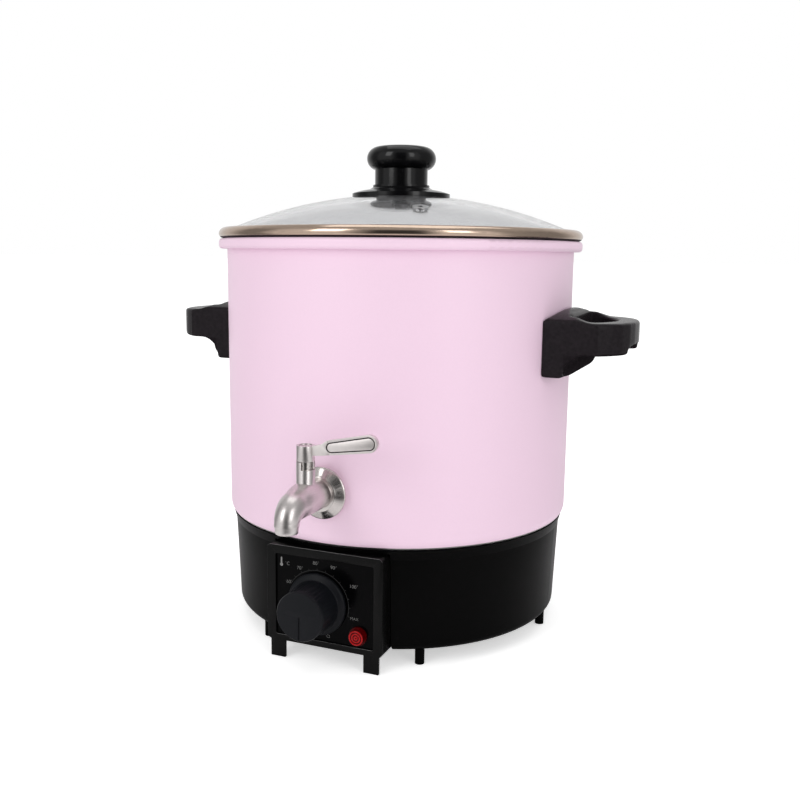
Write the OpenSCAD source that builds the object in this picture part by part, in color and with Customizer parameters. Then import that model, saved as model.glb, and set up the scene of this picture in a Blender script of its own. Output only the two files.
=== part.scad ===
// Candle wax melter: a painted pot with a draw-off tap, two side handles and a
// glass lid, standing on a heated base with a thermostat box at the front.
// The origin is on the pot's axis at the level of the ground. The tap and the
// thermostat face -Y, the handles point along X and the mains inlet is at +Y.
// Millimetres.

/* [Pot] */
// Outside diameter of the pot
pot_d = 260; // [252:1:270]
// Height of the pot from its underside to the top of the rolled rim
pot_h = 205.5; // [198:0.5:215]
// Thickness of the pot's sheet
pot_wall = 2; // [1.5:0.1:2.5]
// Height of the rolled rim
bead_h = 7.5; // [6.5:0.1:8.5]
// How far the rolled rim stands out from the wall
bead_out = 6; // [5:0.1:7]

/* [Base] */
// Height of the base casing
base_h = 72; // [70:0.5:76]
// Free height under the base casing
foot_h = 11; // [9:0.5:14]
// Wall thickness of the base casing
base_wall = 2.6; // [2.2:0.1:3]

/* [Control box] */
// Width of the control box
box_w = 86; // [84:1:90]
// How much lower the control box is than the base casing
box_drop = 4; // [3:0.5:6]
// How far the knob axis is to the left of the middle
knob_off = 5; // [3:0.5:7]
// Radius of the knob's skirt
knob_skirt_r = 21.5; // [20:0.25:22]
// How far the knob stands out from the panel
knob_proud = 27; // [24:0.5:30]

/* [Tap] */
// Height of the tap's barrel above the ground
tap_z = 121; // [116:1:130]
// Distance from the pot's wall to the tap's stem
stem_out = 25.5; // [24:0.5:28]
// Outside radius of the tap's barrel
barrel_r = 9; // [8.8:0.1:9.6]
// Distance from the stem to the tip of the lever
lever_reach = 49.7; // [45:0.1:55]

/* [Handles] */
// Width of each side handle
handle_w = 90; // [84:1:94]
// Distance from the pot's wall to a handle's outer edge
handle_out = 50; // [48:0.5:54]
// Thickness of the handle's grip
grip_t = 22; // [20:0.5:24]

/* [Lid] */
// Height of the glass dome above the pot's rim
dome_rise = 33.7; // [30:0.1:38]
// Thickness of the glass
glass_t = 4; // [3.5:0.1:4.5]
// Radius of the lid knob's head
lid_knob_r = 25.9; // [24:0.1:28]

/* [Hidden] */
$fn = 96;

gap = 0.3;          // clearance between neighbours that could touch
eps = 0.01;         // overlap that makes a cut clean

// levels above the ground
base_z = foot_h;
base_top = base_z + base_h;
pot_z = base_top - 2;
rim_z = pot_z + pot_h;
crease_z = rim_z - bead_h;

// pot
pot_r = pot_d / 2;
pot_in = pot_r - pot_wall;
pot_corner = 9;
bead_r = pot_r + bead_out;

// base casing
lip_out = pot_r - 2;
collar_r = pot_r - 3.8;
foot_end_r = pot_r - 6.4;
collar_h = 7;
base_corner = 5;
lip_in = pot_r - 3.1;
ledge_t = 2.5;
ledge_r = pot_r - 32;
flange_r = pot_r - 19;
cover_t = 2;
cover_r = flange_r - gap;
cover_boss_r = pot_r - 28;
foot_r = 3.3;
foot_place_r = pot_r - 12.5;
stud_place_r = pot_r - 26;

// control box
box_h = base_h - box_drop;
box_front = -(pot_r + 1);
box_z = base_z + 1.2;
box_top = box_z + box_h;
box_back = box_front + 28;
box_t = 2.4;
face_t = 3;
frame_side = 6.5;
frame_low = 4.3;
frame_top = 6;
panel_t = 1;
panel_sink = 1.4;
panel_y = box_front + panel_sink;
leg_w = 11;
leg_t = 2.2;
leg_in = box_w / 2 - 13.5;
ear_w = 8;
ear_t = 2.4;
ear_y = box_back - ear_t;
ear_screw_x = box_w / 2 + 4.2;
ear_screw_z = box_z + 31;
knob_x = -knob_off;
knob_z = box_z + 30.3;
ear_screw_r = 1.4;
bush_r = 5;
lamp_x = box_w / 2 - 17.7;
lamp_z = box_z + 12.4;
lamp_r = 6.3;
shaft_r = 3;

// tap
stem_y = -(pot_r + stem_out);
shank_r = 8;
bend_r = 10;
spout_r = 6.9;
spout_y = stem_y - 25;
spout_drop = 14;
spout_bore = 5;
elbow_bore = spout_bore - 0.4;
spout_lap = 0.5;
bonnet_r = 6.05;
bonnet_top = tap_z + 25.9;
plug_r = 4.6;
cap_r = 5.8;
cap_h = 10.1;
cap_z = bonnet_top + gap;
notch_h = 5;
notch_from = -3;
notch_to = 109;
lug_from = 88;
lug_to = 106;
lever_slope = 10;
lever_t = 3.4;
lever_tip_r = 5.6;
lever_root_r = 4.7;

// handles
handle_low = crease_z - 85;
handle_high = crease_z - 39;
grip_top = crease_z - 47;
grip_low = grip_top - grip_t;
plate_t = 10;
bar_t = 14.5;
handle_bow = handle_out + 10;
handle_screw_z = [handle_low + 11, handle_high - 11];
handle_screw_r = 2.5;

// lid
seat_z = rim_z + 0.2;
edge_r = pot_r - 0.7;
edge_z = rim_z + 6.4;
apex_z = rim_z + dome_rise;
dome_h = apex_z - edge_z;
dome_r = (edge_r * edge_r + dome_h * dome_h) / (2 * dome_h);
dome_zc = apex_z - dome_r;
vent_r = 92;
vent_a = 30;
knob_hole_r = 3.2;
saucer_h = 5.5;

// heater
spreader_r = pot_r - 42;
spreader_t = 6;
spreader_z = pot_z - spreader_t;
element_r = spreader_r - 28;
element_rod = 4;
pin_drop = 22;
element_z = spreader_z - 2;
clamp_z = element_z - element_rod - 1.8;
shield_z = clamp_z - 17.2;
stud_r = 3;
shield_r = pot_r - 38;

// ---------------------------------------------------------------- shapes

module ring(r_out, r_in, h) {
    difference() {
        cylinder(r = r_out, h = h);
        translate([0, 0, -eps]) cylinder(r = r_in, h = h + 2 * eps);
    }
}

// a cylinder along +Y from the point at
module rod_y(at, r, length) {
    translate(at) rotate([-90, 0, 0]) cylinder(r = r, h = length);
}

// a cylinder along +X from the point at
module rod_x(at, r, length) {
    translate(at) rotate([0, 90, 0]) cylinder(r = r, h = length);
}

// a hexagonal prism, across is the width over the flats
module hex(across, h) {
    cylinder(r = across / sqrt(3), h = h, $fn = 6);
}

// a rectangle with true round corners, its lower left corner at the origin
module round_square(size, r) {
    translate([r, 0]) square([size[0] - 2 * r, size[1]]);
    translate([0, r]) square([size[0], size[1] - 2 * r]);
    for (x = [r, size[0] - r], y = [r, size[1] - r]) translate([x, y]) circle(r, $fn = 48);
}

// an upright plate in the XZ plane that faces -Y, with its outline's corner at [x, z]
module plate_xz(x, z, y, w, h, t, r) {
    translate([x, y + t, z]) rotate([90, 0, 0]) linear_extrude(t) round_square([w, h], r);
}

// the flat outline of two round ends joined by their tangents
module two_round(p1, r1, p2, r2) {
    d = norm(p2 - p1);
    a = atan2(p2[1] - p1[1], p2[0] - p1[0]);
    b = acos((r1 - r2) / d);
    side = function(s, r) r * [cos(a + s * b), sin(a + s * b)];
    translate(p1) circle(r1, $fn = 48);
    translate(p2) circle(r2, $fn = 48);
    polygon([p1 + side(1, r1), p2 + side(1, r2), p2 + side(-1, r2), p1 + side(-1, r1)]);
}

// copies at n even steps round the Z axis
module around(n, r, first = 0) {
    for (i = [0 : n - 1]) rotate(first + i * 360 / n) translate([r, 0, 0]) children();
}

// a round wire through a list of points, as one swept tube
module wire(points, r, sides = 8) {
    last = len(points) - 1;
    unit = function(v) v / norm(v);
    run = [for (i = [0 : last]) unit(points[min(i + 1, last)] - points[max(i - 1, 0)])];
    bend = [for (i = [0 : last]) i == 0 || i == last ? 1
        : sqrt((1 + unit(points[i + 1] - points[i]) * unit(points[i] - points[i - 1])) / 2)];
    lean = [for (t = run) unit(cross(t, abs(t[2]) > 0.8 ? [1, 0, 0] : [0, 0, 1]))];
    rings = [for (i = [0 : last], k = [0 : sides - 1]) let (a = 360 * k / sides)
        points[i] + r * (cos(a) * lean[i] + sin(a) * cross(run[i], lean[i])) / bend[i]];
    polyhedron(rings, concat(
        [[for (k = [0 : sides - 1]) k]],
        [for (i = [0 : last - 1], k = [0 : sides - 1]) let (n = (k + 1) % sides)
            [i * sides + k, (i + 1) * sides + k, (i + 1) * sides + n]],
        [for (i = [0 : last - 1], k = [0 : sides - 1]) let (n = (k + 1) % sides)
            [i * sides + k, (i + 1) * sides + n, i * sides + n]],
        [[for (k = [sides - 1 : -1 : 0]) last * sides + k]]
    ));
}

// ---------------------------------------------------------------- pot

module pot_section(r, h, corner) {
    square([r - corner, h]);
    translate([0, corner]) square([r, h - corner]);
    translate([r - corner, corner]) circle(corner);
}

module pot() {
    color("#f4dbea") difference() {
        translate([0, 0, pot_z]) rotate_extrude($fn = 180) difference() {
            union() {
                pot_section(pot_r, pot_h - 1, pot_corner);
                translate([pot_in, pot_h - bead_h]) round_square([bead_out + pot_wall, bead_h], 2.6);
            }
            translate([0, pot_wall]) pot_section(pot_in, pot_h, pot_corner - pot_wall);
        }
        rod_y([0, -(pot_r + 10), tap_z], shank_r + 0.2, 30);
        for (side = [-1, 1], z = handle_screw_z)
            rod_x([side > 0 ? pot_r - 10 : -(pot_r + 10), 0, z], handle_screw_r + 0.2, 20);
    }
}

// ---------------------------------------------------------------- handles

// seen from above: a bow between two straight sides
module handle_plan() {
    intersection() {
        translate([pot_r - 14, -handle_w / 2]) square([handle_out + 20, handle_w]);
        translate([pot_r - 10, 0]) circle(handle_bow, $fn = 180);
    }
}

module finger_plan() {
    intersection() {
        translate([pot_r + plate_t, -handle_w / 2 + 10]) square([60, handle_w - 20]);
        translate([pot_r - 10, 0]) circle(handle_bow - bar_t, $fn = 180);
    }
}

// seen from the side: the plate at the wall, the grip, and the sweep between them
module handle_side() {
    inner = pot_r - 14;
    outer = pot_r + handle_out + 0.5;
    top_sweep = 24;
    low_sweep = 16;
    translate([inner, handle_low]) round_square([21, handle_high - handle_low], 2);
    translate([inner, grip_low]) round_square([outer - inner, grip_t], 4.5);
    difference() {
        translate([pot_r + 3, grip_top - 6]) square([top_sweep, handle_high - grip_top + 6]);
        translate([pot_r + 27, grip_top + top_sweep]) circle(top_sweep);
        translate([pot_r + 7, handle_high - 2.5]) square([top_sweep, 3]);
    }
    difference() {
        translate([pot_r + 3, handle_low + 1]) square([low_sweep + 2, grip_low - handle_low + 4]);
        translate([pot_r + 22, grip_low - low_sweep]) circle(low_sweep);
    }
}

module handle() {
    arch = 159;
    difference() {
        intersection() {
            translate([0, 0, handle_low]) linear_extrude(handle_high - handle_low) handle_plan();
            rotate([90, 0, 0]) linear_extrude(handle_w + 2, center = true) handle_side();
            rod_x([pot_r - 20, 0, handle_high - arch], arch, 90, $fn = 180);
        }
        translate([0, 0, handle_low - 1]) linear_extrude(60) finger_plan();
        cylinder(r = pot_r + 0.02, h = rim_z, $fn = 180);
        for (z = handle_screw_z) rod_x([pot_r - 5, 0, z], handle_screw_r, 13);
    }
}

module handle_right() {
    color("#101012") handle();
}

module handle_left() {
    color("#101012") mirror([1, 0, 0]) handle();
}

// pan-head screws driven from inside the pot, two to a handle
module handle_screws() {
    color("silver") for (side = [0, 1], z = handle_screw_z) mirror([side, 0, 0]) {
        rod_x([pot_in - 3.6, 0, z], handle_screw_r, 13.6);
        rod_x([pot_in - 3.6, 0, z], 4.4, 2.3);
    }
}

module handle_washers() {
    color("silver") for (side = [0, 1], z = handle_screw_z) mirror([side, 0, 0]) difference() {
        rod_x([pot_in - 1.3, 0, z], 6, 1);
        rod_x([pot_in - 2, 0, z], handle_screw_r, 3);
    }
}

// ---------------------------------------------------------------- tap

module tap_body() {
    shank_y = -(pot_r - 15);
    bend_y = spout_y + bend_r;
    color("#b9b7b4") difference() {
        union() {
            rod_y([0, -(pot_r + 2), tap_z], shank_r, pot_r + 2 + shank_y);
            rod_y([0, bend_y, tap_z], barrel_r, -(pot_r + 1.5) - bend_y);
            translate([0, stem_y, tap_z]) cylinder(r = bonnet_r, h = bonnet_top - tap_z);
            translate([0, bend_y, tap_z - bend_r]) rotate([90, 0, -90])
                rotate_extrude(angle = 90) translate([bend_r, 0]) circle(spout_r + 0.9);
            translate([0, spout_y, tap_z - spout_drop])
                cylinder(r = spout_r, h = spout_drop - bend_r + 1);
            translate([0, bend_y, tap_z]) sphere(barrel_r);
        }
        rod_y([0, stem_y, tap_z], spout_bore, 60);
        rod_y([0, bend_y, tap_z], 3.6, 30);
        translate([0, bend_y, tap_z - bend_r]) rotate([90, 0, -90])
            rotate_extrude(angle = 90) translate([bend_r, 0]) circle(elbow_bore);
        translate([0, spout_y, tap_z - spout_drop - 1])
            cylinder(r = spout_bore, h = spout_drop - bend_r + spout_lap + 1);
        translate([0, stem_y, tap_z - 6.5]) cylinder(r = plug_r + 0.05, h = 40);
        translate([0, stem_y, bonnet_top - notch_h])
            rotate_extrude(angle = notch_to - notch_from, start = notch_from - 90)
            translate([plug_r - 1, 0]) square([4, notch_h + 1]);
    }
}

module tap_flange() {
    y = -(pot_r + 3);
    color("#c4c2c0") translate([0, y, tap_z]) rotate([90, 0, 0]) rotate_extrude() polygon([
        [barrel_r + 0.05, 0], [17.6, 0], [17.6, 1.4], [16.8, 2],
        [12.4, 4.6], [11.6, 5.2], [barrel_r + 0.05, 5.2]
    ]);
}

module tap_outer_seal() {
    color("#e8e4e0") difference() {
        rod_y([0, -(pot_r + 3), tap_z], 15, 8);
        cylinder(r = pot_r + 0.02, h = rim_z, $fn = 180);
        rod_y([0, -(pot_r + 5), tap_z], barrel_r + 0.05, 12);
    }
}

module tap_inner_seal() {
    color("#e8e4e0") difference() {
        intersection() {
            rod_y([0, -(pot_in + 2), tap_z], 13.5, 4.5);
            cylinder(r = pot_in - 0.02, h = rim_z, $fn = 180);
        }
        rod_y([0, -(pot_in + 5), tap_z], shank_r + 0.05, 12);
    }
}

module tap_nut() {
    color("#b9b7b4") difference() {
        translate([0, -(pot_in - 8.5), tap_z]) rotate([90, 0, 0]) hex(24, 6);
        rod_y([0, -(pot_in + 5), tap_z], shank_r, 20);
    }
}

// the quarter-turn plug: its cross hole lies across the flow when the tap is shut
module tap_valve_plug() {
    low = tap_z - 6;
    color("#8d8b88") translate([0, stem_y, 0]) difference() {
        union() {
            translate([0, 0, low]) cylinder(r = plug_r, h = bonnet_top - low);
            translate([0, 0, bonnet_top - 1]) cylinder(r = 3, h = 7.5);
        }
        rod_x([-plug_r - 1, 0, tap_z], 3.4, 2 * plug_r + 2);
        for (z = [tap_z + 9, tap_z + 14]) translate([0, 0, z]) ring(plug_r + 1, plug_r - 0.7, 1.2);
        translate([0, 0, bonnet_top - 2.9]) ring(plug_r + 1, plug_r - 0.3, 0.5);
        translate([0, 0, cap_z + 2]) cylinder(r = 1.25, h = 10);
    }
}

module tap_stem_rings() {
    color("#202020") for (z = [tap_z + 9, tap_z + 14]) translate([0, stem_y, z + 0.1])
        ring(plug_r, plug_r - 0.7, 1);
}

module tap_cap() {
    color("#b9b7b4") translate([0, stem_y, 0]) difference() {
        union() {
            translate([0, 0, cap_z]) cylinder(r = cap_r, h = cap_h);
            translate([0, 0, bonnet_top - notch_h + gap])
                rotate_extrude(angle = lug_to - lug_from, start = lug_from - 90)
                translate([plug_r + 0.1, 0]) square([cap_r - plug_r - 0.1, notch_h + 1]);
        }
        translate([0, 0, cap_z - 1]) cylinder(r = 3, h = 7.3);
        translate([0, 0, cap_z]) cylinder(r = 1.3, h = cap_h + 1);
        translate([0, 0, cap_z + cap_h - 1.6]) cylinder(r = 4.2, h = 2);
    }
}

module tap_cap_screw() {
    top = cap_z + cap_h - 1.6;
    color("#a3a19e") translate([0, stem_y, 0]) difference() {
        union() {
            translate([0, 0, top]) cylinder(r = 3.9, h = 1.1);
            translate([0, 0, top - 6]) cylinder(r = 1.25, h = 6.1);
        }
        translate([-3, -0.4, top + 0.6]) cube([6, 0.8, 1]);
    }
}

// the blade stands on edge and rises towards its tip
module tap_lever() {
    root = [17.4, 0.2];
    tip_x = lever_reach - lever_tip_r;
    tip = [tip_x, root[1] + (tip_x - root[0]) * tan(lever_slope)];
    color("#cfcdc9") translate([0, stem_y, tap_z + 36]) difference() {
        rotate([90, 0, 0]) difference() {
            union() {
                linear_extrude(lever_t, center = true) two_round(root, lever_root_r, tip, lever_tip_r);
                linear_extrude(lever_t + 0.6, center = true)
                    polygon([[4, -6], [14, -5], [17, -4.4], [16, 4.5], [11, 1.5], [4, 0.1]]);
            }
            for (side = [-1, 1]) translate([0, 0, side * lever_t / 2])
                linear_extrude(0.8, center = true) two_round(
                    root + [1.2, 0.1], lever_root_r - 1.3, tip, lever_tip_r - 1.3);
        }
        translate([0, 0, -20]) cylinder(r = cap_r, h = 40);
    }
}

// ---------------------------------------------------------------- lid

module glass_section(outer, inner) {
    intersection() {
        translate([0, seat_z]) square([edge_r, dome_rise + 5]);
        difference() {
            translate([0, dome_zc]) circle(outer, $fn = 720);
            translate([0, dome_zc]) circle(inner, $fn = 720);
        }
    }
}

module vent_place() {
    height = dome_zc + sqrt(dome_r * dome_r - vent_r * vent_r);
    tilt = asin(vent_r / dome_r);
    rotate(vent_a - 90) translate([vent_r, 0, height]) rotate([0, tilt, 0]) children();
}

module lid_glass() {
    color([0.8, 0.84, 0.85, 0.5]) difference() {
        rotate_extrude($fn = 180) glass_section(dome_r, dome_r - glass_t);
        translate([0, 0, rim_z]) cylinder(r = knob_hole_r + 1, h = 60);
        vent_place() translate([0, 0, -12]) cylinder(r = 3.1, h = 20);
    }
}

// rolled stainless band: it rests on the pot's rim, its inner lip drops into the
// pot and its upper edge holds the rim of the glass
module lid_rim_band() {
    lip_r = pot_in - 1.2;
    lip_t = 0.8;
    roll = 5;
    roll_r = bead_r + 0.1 - roll;
    hold = 1.5;
    color("#8f8781") rotate_extrude($fn = 180) difference() {
        union() {
            translate([roll_r, seat_z + 2.2]) circle(roll);
            translate([lip_r - lip_t, seat_z]) square([roll_r - lip_r + lip_t, 2.2 + roll]);
            translate([lip_r - lip_t, seat_z - 6]) square([lip_t, 7]);
        }
        translate([lip_r, seat_z - 4]) square([30, 4]);
        intersection() {
            translate([0, seat_z]) square([edge_r + 0.05, 30]);
            difference() {
                translate([0, dome_zc]) circle(dome_r + 0.05, $fn = 720);
                translate([0, dome_zc]) circle(dome_r - glass_t - 0.05, $fn = 720);
            }
        }
        difference() {
            translate([0, seat_z + 3]) square([edge_r - hold, 30]);
            translate([0, dome_zc]) circle(dome_r, $fn = 720);
        }
    }
}

module lid_vent_eyelet() {
    color("silver") vent_place() difference() {
        union() {
            translate([0, 0, 0.05]) cylinder(r = 5.4, h = 0.9);
            translate([0, 0, -glass_t - 0.9]) cylinder(r = 3, h = glass_t + 1);
            translate([0, 0, -glass_t - 0.95]) cylinder(r = 5, h = 0.9);
        }
        translate([0, 0, -10]) cylinder(r = 1.7, h = 20);
    }
}

module lid_knob() {
    head_r = 8.5;
    foot_z = apex_z + saucer_h;
    color("#0c0c0e") difference() {
        rotate_extrude() union() {
            translate([0, foot_z]) square([lid_knob_r - 6.1, 14]);
            translate([0, foot_z]) square([lid_knob_r - 4.6, 1.6]);
            translate([lid_knob_r - head_r, foot_z + 21.2]) circle(head_r);
            translate([0, foot_z + 12.7]) square([lid_knob_r - head_r, 2 * head_r]);
        }
        translate([0, 0, foot_z - 1]) cylinder(r = 2.5, h = 17);
    }
}

// the saucer between the knob and the glass
module lid_knob_base() {
    color("#0c0c0e") rotate_extrude() difference() {
        translate([0, apex_z]) polygon([
            [2.7, -1], [36.8, -4], [36.8, 0.8], [32, 2.4],
            [24, 4], [21.4, saucer_h], [2.7, saucer_h]
        ]);
        translate([0, dome_zc]) circle(dome_r + 0.1, $fn = 720);
    }
}

module lid_knob_seal() {
    color("#303030") translate([0, 0, apex_z - glass_t - 1.6]) ring(7, 2.5, 1.5);
}

module lid_knob_screw() {
    low = apex_z - glass_t - 1.6;
    color("silver") {
        translate([0, 0, low - 1]) ring(6, 2.5, 1);
        translate([0, 0, low - 3.6]) cylinder(r = 4.4, h = 2.6);
        translate([0, 0, low - 1.1]) cylinder(r = 2.5, h = 20);
    }
}

// ---------------------------------------------------------------- base

module base_outline(inset) {
    r1 = foot_end_r - inset;
    polygon([
        [0, inset], [r1 - base_corner, inset], [r1, base_corner + inset],
        [collar_r - inset, base_h - collar_h], [lip_out - inset, base_h], [0, base_h]
    ]);
    translate([r1 - base_corner, base_corner + inset]) circle(base_corner);
}

// places of the four cover screws, clear of the control box
module cover_places() {
    around(4, cover_boss_r, 45) children();
}

module base_shell() {
    inner_top = base_h - 2;
    color("#141416") difference() {
        union() {
            translate([0, 0, base_z]) rotate_extrude($fn = 180) difference() {
                base_outline(0);
                difference() {
                    base_outline(base_wall);
                    translate([0, inner_top - ledge_t]) square([200, 10]);
                }
                square([flange_r, base_wall + 1]);
                square([ledge_r, base_h + 1]);
                translate([0, inner_top]) square([lip_in, 5]);
            }
            cover_places() translate([0, 0, base_z + cover_t]) difference() {
                cylinder(r = 4.5, h = base_h - 2 - ledge_t - cover_t + 0.5, $fn = 48);
                translate([0, 0, -1]) cylinder(r = 1.5, h = 12);
            }
            for (side = [-1, 1]) intersection() {
                translate([side * ear_screw_x - 3.4, box_front + 5, ear_screw_z - 6])
                    cube([6.8, ear_y - box_front - 5, 12]);
                translate([0, 0, base_z]) cylinder(r = foot_end_r - 0.5, h = base_h);
            }
        }
        translate([-box_w / 2 - gap, box_front - 5, base_z - 1])
            cube([box_w + 2 * gap, box_back - box_front + 5, box_top + gap - base_z + 1]);
        around(6, foot_place_r) translate([0, 0, base_z - 1]) cylinder(r = 2, h = 6);
        around(3, stud_place_r, 90) translate([0, 0, base_top - 8]) cylinder(r = 2.2, h = 10);
        for (side = [-1, 1])
            rod_y([side * ear_screw_x, ear_y - 8, ear_screw_z], ear_screw_r, 9);
        rod_y([0, pot_r - 20, gland_z], gland_r + 0.1, 30);
    }
}

module base_cover() {
    color("#1b1b1d") difference() {
        translate([0, 0, base_z]) cylinder(r = cover_r, h = cover_t, $fn = 180);
        cover_places() translate([0, 0, base_z - 1]) cylinder(r = 1.7, h = 5);
        for (row = [0 : 4], side = [-1, 1])
            translate([side * 20 - 14, row * 10 - 52, base_z - 1]) cube([28, 4, 5]);
        for (y = block_screw_y)
            translate([block_screw_x, y, base_z - 1]) cylinder(r = block_screw_r, h = 5);
        translate([-box_w / 2 - 1, -cover_r - 1, base_z - 1])
            cube([box_w + 2, cover_r + 1 + box_back + 1, 5]);
    }
}

module base_feet() {
    color("#0f0f10") around(6, foot_place_r) {
        cylinder(r = foot_r, h = base_z);
        cylinder(r = 2, h = base_z + base_wall + 0.8);
    }
}

module cover_screws() {
    color("silver") cover_places() {
        translate([0, 0, base_z - 1.8]) cylinder(r = 3, h = 1.8);
        translate([0, 0, base_z - 1]) cylinder(r = 1.5, h = 11);
    }
}

// studs welded under the pot: one in the middle, three through the ledge
module pot_studs() {
    color("silver") {
        translate([0, 0, shield_z - 7]) cylinder(r = stud_r, h = pot_z - shield_z + 7);
        around(3, stud_place_r, 90) translate([0, 0, pot_z - 11]) cylinder(r = 2, h = 11);
    }
}

module stud_nuts() {
    color("silver") around(3, stud_place_r, 90) translate([0, 0, pot_z - ledge_t - 4])
        difference() {
            hex(7, 4);
            translate([0, 0, -1]) cylinder(r = 2, h = 6);
        }
}

// ---------------------------------------------------------------- control box

module control_box() {
    half = box_w / 2;
    color("#121214") difference() {
        union() {
            difference() {
                plate_xz(-half, box_z, box_front, box_w, box_h, box_back - box_front, 3);
                plate_xz(-half + box_t, box_z + box_t, box_front + face_t,
                    box_w - 2 * box_t, box_h - 2 * box_t, box_back - box_front, 1.5);
            }
            for (side = [-1, 1]) {
                translate([side > 0 ? leg_in : -leg_in - leg_w, box_front, 0])
                    cube([leg_w, leg_t, box_z + 1]);
                translate([side > 0 ? half - box_t : -half - ear_w, ear_y, box_z + 21])
                    cube([ear_w + box_t, ear_t, 20]);
            }
        }
        plate_xz(-half + frame_side, box_z + frame_low, box_front - 1,
            box_w - 2 * frame_side, box_h - frame_low - frame_top, panel_sink + panel_t + 1, 1.2);
        rod_y([knob_x, box_front - 1, knob_z], bush_r + 0.1, 10);
        rod_y([lamp_x, box_front - 1, lamp_z], bush_r + 0.1, 10);
        for (side = [-1, 1])
            rod_y([side * ear_screw_x, ear_y - 1, ear_screw_z], ear_screw_r + gap, 5);
    }
}

module control_box_screws() {
    color("silver") for (side = [-1, 1]) translate([side * ear_screw_x, 0, ear_screw_z]) {
        rod_y([0, ear_y - 7, 0], ear_screw_r, 9.5);
        rod_y([0, ear_y + ear_t, 0], 2.9, 1.8);
    }
}

module control_panel() {
    fit = 0.15;
    color("#08080a") difference() {
        plate_xz(-box_w / 2 + frame_side + fit, box_z + frame_low + fit, panel_y,
            box_w - 2 * frame_side - 2 * fit, box_h - frame_low - frame_top - 2 * fit, panel_t, 1);
        rod_y([knob_x, box_front - 1, knob_z], bush_r + 0.1, 10);
        rod_y([lamp_x, box_front - 1, lamp_z], bush_r + 0.1, 10);
    }
}

module thermostat_body() {
    back = box_front + face_t;
    color("#c9c4b8") difference() {
        union() {
            translate([knob_x - 17, back, knob_z - 17]) cube([34, 22, 34]);
            rod_y([knob_x, panel_y - 4, knob_z], bush_r, 10);
            for (x = [-11, 11]) translate([knob_x + x - 3, back + 21, knob_z + 4]) cube([6, 7, 1]);
        }
        rod_y([knob_x, panel_y - 6, knob_z], shaft_r + 0.05, 25);
    }
}

module thermostat_nut() {
    color("silver") difference() {
        translate([knob_x, panel_y, knob_z]) rotate([90, 0, 0]) hex(14, 3);
        rod_y([knob_x, panel_y - 6, knob_z], bush_r, 10);
    }
}

module thermostat_shaft() {
    color("silver") rod_y([knob_x, box_front - 13, knob_z], shaft_r, 28);
}

module thermostat_knob() {
    face = knob_proud - 0.5;
    color("#17181b") translate([knob_x, panel_y - 0.5, knob_z]) rotate([90, 0, 0]) difference() {
        rotate_extrude() polygon([
            [0, 0], [knob_skirt_r, 0], [knob_skirt_r, 2], [knob_skirt_r - 1.2, 3],
            [knob_skirt_r - 3.2, 3.2], [knob_skirt_r - 4.2, 4], [16.9, face - 1], [16.2, face], [0, face]
        ]);
        translate([0, 0, -1]) cylinder(r = 9, h = 7);
        translate([0, 0, -1]) cylinder(r = shaft_r, h = 14.9);
        translate([-0.6, -17.5, face - 0.8]) cube([1.2, 17.5, 2]);
    }
}

// ---------------------------------------------------------------- thermostat sensing parts

bulb_y = -(spreader_r - 12);
bulb_z = spreader_z - 3;

module sensor_bulb() {
    color("#b87348") rod_x([-30, bulb_y, bulb_z], 3, 52);
}

module bulb_clip() {
    color("silver") difference() {
        translate([-5, bulb_y - 5, bulb_z - 4.2]) cube([9, 10, 7.2]);
        rod_x([-10, bulb_y, bulb_z], 3, 20);
        translate([-10, bulb_y - 2.4, bulb_z]) cube([20, 4.8, 4]);
    }
}

module capillary_tube() {
    end_y = box_front + face_t + 22;
    color("#b87348") wire([
        [22, bulb_y, bulb_z], [30, bulb_y, bulb_z], [36, bulb_y - 4, bulb_z - 8],
        [34, bulb_y - 8, knob_z + 18], [20, end_y + 8, knob_z + 10], [4, end_y + 6, knob_z - 8],
        [knob_x, end_y + 4, knob_z - 12], [knob_x, end_y, knob_z - 12]
    ], 1);
}

// ---------------------------------------------------------------- pilot lamp

module pilot_lamp_lens() {
    color([0.75, 0.05, 0.06]) union() {
        rod_y([lamp_x, panel_y - 1.6, lamp_z], lamp_r, 1.6);
        rod_y([lamp_x, panel_y - 4.4, lamp_z], lamp_r - 0.9, 3);
        rod_y([lamp_x, panel_y - 1, lamp_z], 4.9, 8);
    }
}

module pilot_lamp_body() {
    color("#e6e2da") {
        rod_y([lamp_x, panel_y + 7, lamp_z], 4.9, 15);
        for (x = [-2, 2]) translate([lamp_x + x - 0.4, panel_y + 21, lamp_z - 1.5]) cube([0.8, 6, 3]);
    }
}

module pilot_lamp_clip() {
    color("silver") translate([lamp_x, box_front + face_t + 1, lamp_z]) rotate([90, 0, 0]) ring(7.6, 4.9, 1);
}

// ---------------------------------------------------------------- heater

module heat_spreader() {
    color("#c3c5c8") difference() {
        translate([0, 0, spreader_z]) cylinder(r = spreader_r, h = spreader_t);
        translate([0, 0, element_z]) rotate_extrude()
            translate([element_r, 0]) circle(element_rod + 0.1, $fn = 48);
        translate([0, 0, spreader_z - 1]) cylinder(r = stud_r + 0.2, h = spreader_t + 2);
    }
}

module heating_element() {
    half_gap = 14;
    color("#6d6f72") {
        translate([0, 0, element_z]) rotate_extrude(angle = 360 - 2 * half_gap, start = 90 + half_gap)
            translate([element_r, 0]) circle(element_rod, $fn = 48);
        for (a = [90 - half_gap, 90 + half_gap]) rotate(a) translate([element_r, 0, 0]) {
            translate([0, 0, element_z - 14]) cylinder(r = element_rod + 0.7, h = 15.5, $fn = 48);
            translate([0, 0, element_z - pin_drop]) cylinder(r = 1.6, h = 9, $fn = 48);
        }
    }
}

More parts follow.
